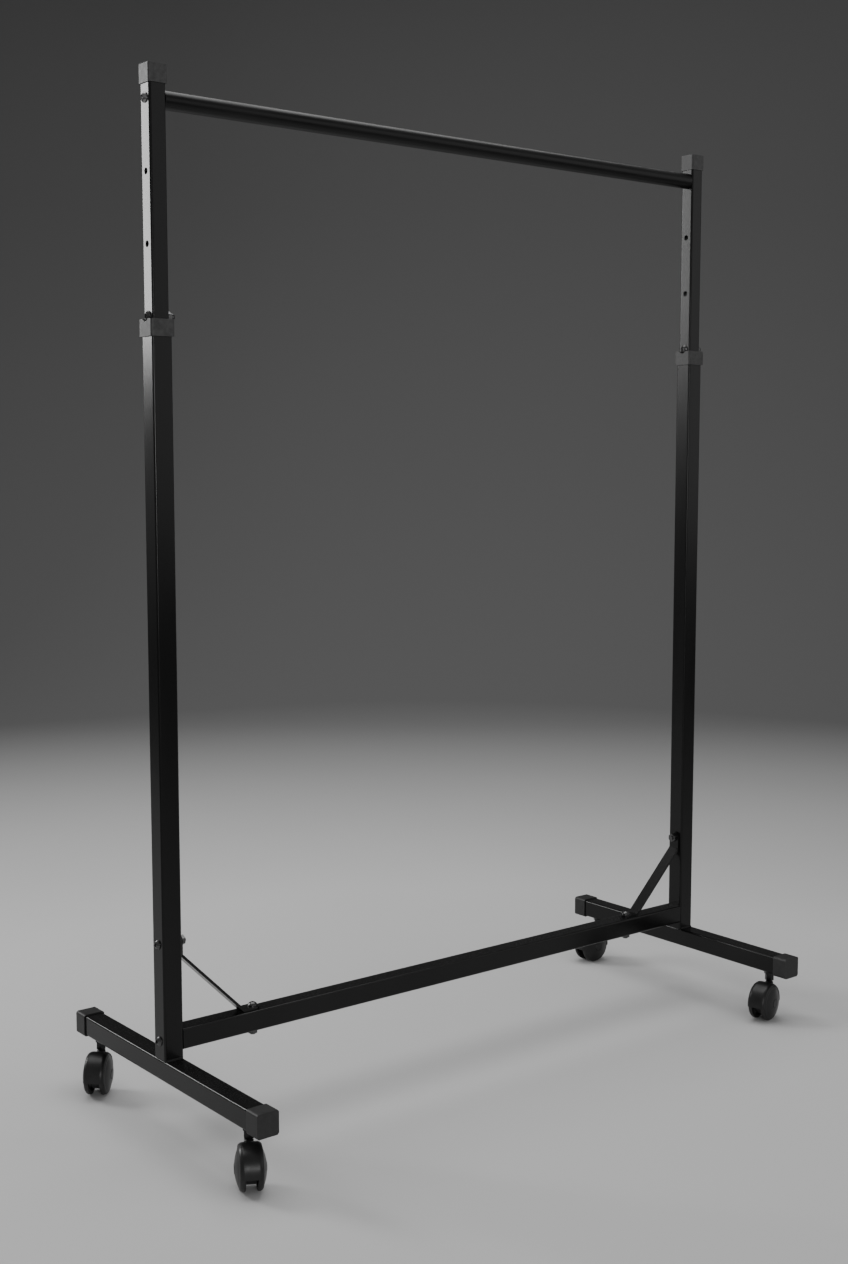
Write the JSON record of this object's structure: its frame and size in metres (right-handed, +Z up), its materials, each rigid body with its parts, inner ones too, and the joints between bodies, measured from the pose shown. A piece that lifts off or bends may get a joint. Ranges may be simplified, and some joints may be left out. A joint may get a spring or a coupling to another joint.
{
  "type": "rolling clothes rack",
  "caption": "Black steel clothes rack on swivel casters: H-shaped foot frame, square uprights with height-adjustable upper tubes and a round hang rail.",
  "frame": {"origin": "on the floor, midway between the two uprights and midway along the feet", "axes": "X runs along the hang rail from left to right, Y from front to back along the feet, Z up"},
  "size_m": [1.1217, 0.5146, 1.47],
  "materials": {
    "powder_coated_steel": "semi-gloss black powder coat with a fine orange peel",
    "moulded_plastic": "matte black moulded plastic with a fine texture",
    "caster_plastic": "satin black moulded nylon",
    "black_fastener": "black-plated steel with a slight gloss",
    "zinc_plated_steel": "bright zinc-plated steel"
  },
  "bodies": {
    "base": {"left_foot": "powder_coated_steel", "right_foot": "powder_coated_steel", "front_left_foot_cap": "moulded_plastic", "back_left_foot_cap": "moulded_plastic", "front_right_foot_cap": "moulded_plastic", "back_right_foot_cap": "moulded_plastic", "left_lower_upright": "powder_coated_steel", "right_lower_upright": "powder_coated_steel", "upright_welds": "powder_coated_steel", "left_collar": "moulded_plastic", "right_collar": "moulded_plastic", "crossbar": "powder_coated_steel", "crossbar_end_plugs": "zinc_plated_steel", "crossbar_bolts": "black_fastener", "left_brace": "powder_coated_steel", "right_brace": "powder_coated_steel", "brace_upright_bolts": "black_fastener", "brace_upright_nuts": "black_fastener", "brace_crossbar_bolts": "black_fastener", "brace_crossbar_washers": "black_fastener", "brace_crossbar_nuts": "black_fastener", "caster_stems": "black_fastener", "caster_lock_nuts": "black_fastener", "caster_washers": "black_fastener", "foot_weld_nuts": "zinc_plated_steel"},
    "upper_frame": {"left_upper_tube": "powder_coated_steel", "right_upper_tube": "powder_coated_steel", "left_top_cap": "moulded_plastic", "right_top_cap": "moulded_plastic", "hang_rail": "powder_coated_steel", "rail_end_plugs": "zinc_plated_steel", "rail_screws": "black_fastener", "height_bolts": "black_fastener", "height_washers": "black_fastener", "height_cap_nuts": "black_fastener"},
    "front_left_caster": {"front_left_hood": "caster_plastic", "front_left_axle": "zinc_plated_steel"},
    "front_left_wheel_a": {"front_left_wheel_a": "caster_plastic"},
    "front_left_wheel_b": {"front_left_wheel_b": "caster_plastic"},
    "back_left_caster": {"back_left_hood": "caster_plastic", "back_left_axle": "zinc_plated_steel"},
    "back_left_wheel_a": {"back_left_wheel_a": "caster_plastic"},
    "back_left_wheel_b": {"back_left_wheel_b": "caster_plastic"},
    "front_right_caster": {"front_right_hood": "caster_plastic", "front_right_axle": "zinc_plated_steel"},
    "front_right_wheel_a": {"front_right_wheel_a": "caster_plastic"},
    "front_right_wheel_b": {"front_right_wheel_b": "caster_plastic"},
    "back_right_caster": {"back_right_hood": "caster_plastic", "back_right_axle": "zinc_plated_steel"},
    "back_right_wheel_a": {"back_right_wheel_a": "caster_plastic"},
    "back_right_wheel_b": {"back_right_wheel_b": "caster_plastic"}
  },
  "joints": [
    {"name": "height_setting", "type": "slide", "parent": "base", "child": "upper_frame", "axis": [0, 0, 1], "range_m": [0, 0.19]},
    {"name": "front_left_swivel", "type": "hinge", "parent": "base", "child": "front_left_caster", "pos_m": [-0.525, -0.208, 0.05], "axis": [0, 0, 1], "continuous": true},
    {"name": "front_left_wheel_a_spin", "type": "hinge", "parent": "front_left_caster", "child": "front_left_wheel_a", "pos_m": [-0.53385, -0.22537, 0.03], "axis": [0.891, -0.454, 0], "continuous": true},
    {"name": "front_left_wheel_b_spin", "type": "hinge", "parent": "front_left_caster", "child": "front_left_wheel_b", "pos_m": [-0.53385, -0.22537, 0.03], "axis": [0.891, -0.454, 0], "continuous": true},
    {"name": "back_left_swivel", "type": "hinge", "parent": "base", "child": "back_left_caster", "pos_m": [-0.525, 0.208, 0.05], "axis": [0, 0, 1], "continuous": true},
    {"name": "back_left_wheel_a_spin", "type": "hinge", "parent": "back_left_caster", "child": "back_left_wheel_a", "pos_m": [-0.53805, 0.19351, 0.03], "axis": [0.7431, -0.6691, 0], "continuous": true},
    {"name": "back_left_wheel_b_spin", "type": "hinge", "parent": "back_left_caster", "child": "back_left_wheel_b", "pos_m": [-0.53805, 0.19351, 0.03], "axis": [0.7431, -0.6691, 0], "continuous": true},
    {"name": "front_right_swivel", "type": "hinge", "parent": "base", "child": "front_right_caster", "pos_m": [0.525, -0.208, 0.05], "axis": [0, 0, 1], "continuous": true},
    {"name": "front_right_wheel_a_spin", "type": "hinge", "parent": "front_right_caster", "child": "front_right_wheel_a", "pos_m": [0.50608, -0.21272, 0.03], "axis": [0.2419, -0.9703, 0], "continuous": true},
    {"name": "front_right_wheel_b_spin", "type": "hinge", "parent": "front_right_caster", "child": "front_right_wheel_b", "pos_m": [0.50608, -0.21272, 0.03], "axis": [0.2419, -0.9703, 0], "continuous": true},
    {"name": "back_right_swivel", "type": "hinge", "parent": "base", "child": "back_right_caster", "pos_m": [0.525, 0.208, 0.05], "axis": [0, 0, 1], "continuous": true},
    {"name": "back_right_wheel_a_spin", "type": "hinge", "parent": "back_right_caster", "child": "back_right_wheel_a", "pos_m": [0.5055, 0.208, 0.03], "axis": [0, -1, 0], "continuous": true},
    {"name": "back_right_wheel_b_spin", "type": "hinge", "parent": "back_right_caster", "child": "back_right_wheel_b", "pos_m": [0.5055, 0.208, 0.03], "axis": [0, -1, 0], "continuous": true}
  ]
}
